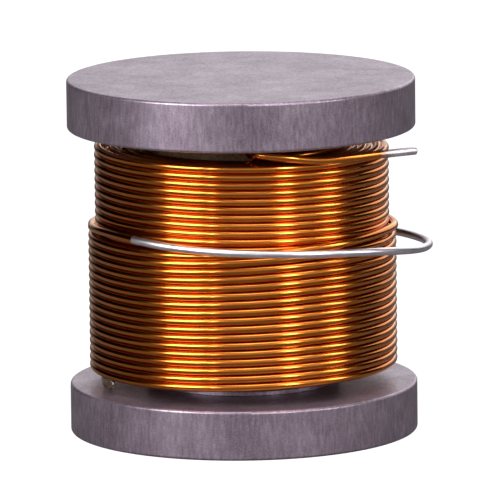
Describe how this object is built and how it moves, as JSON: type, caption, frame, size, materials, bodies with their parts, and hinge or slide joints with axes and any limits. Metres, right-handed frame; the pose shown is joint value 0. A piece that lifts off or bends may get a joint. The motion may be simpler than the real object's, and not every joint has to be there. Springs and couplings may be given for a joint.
{
  "type": "iron core inductor",
  "caption": "Drum-shaped iron core inductor: a rod between two discs, wound in layers with enamelled copper wire, with two tinned leads.",
  "frame": {"origin": "centre of the bottom disc's lower face, on the drum's axis", "axes": "+Z along the drum's axis, towards the top disc; -Y is the front, where both leads cross the winding"},
  "size_m": [0.0473, 0.0453, 0.046],
  "materials": {
    "pressed_iron": "ground, matt",
    "enamelled_wire": "clear glossy enamel over copper",
    "tinned_wire": "solder-dipped, satin",
    "insulating_paper": "matt",
    "clear_glue": "clear, glossy"
  },
  "bodies": {
    "root": {"bottom_disc": "pressed_iron", "top_disc": "pressed_iron", "core_rod": "pressed_iron", "lower_joint_glue": "clear_glue", "upper_joint_glue": "clear_glue", "lower_glue_dab": "clear_glue", "upper_glue_dab": "clear_glue", "core_wrap": "insulating_paper", "winding": "enamelled_wire", "start_lead": "tinned_wire", "finish_lead": "tinned_wire"}
  },
  "joints": []
}
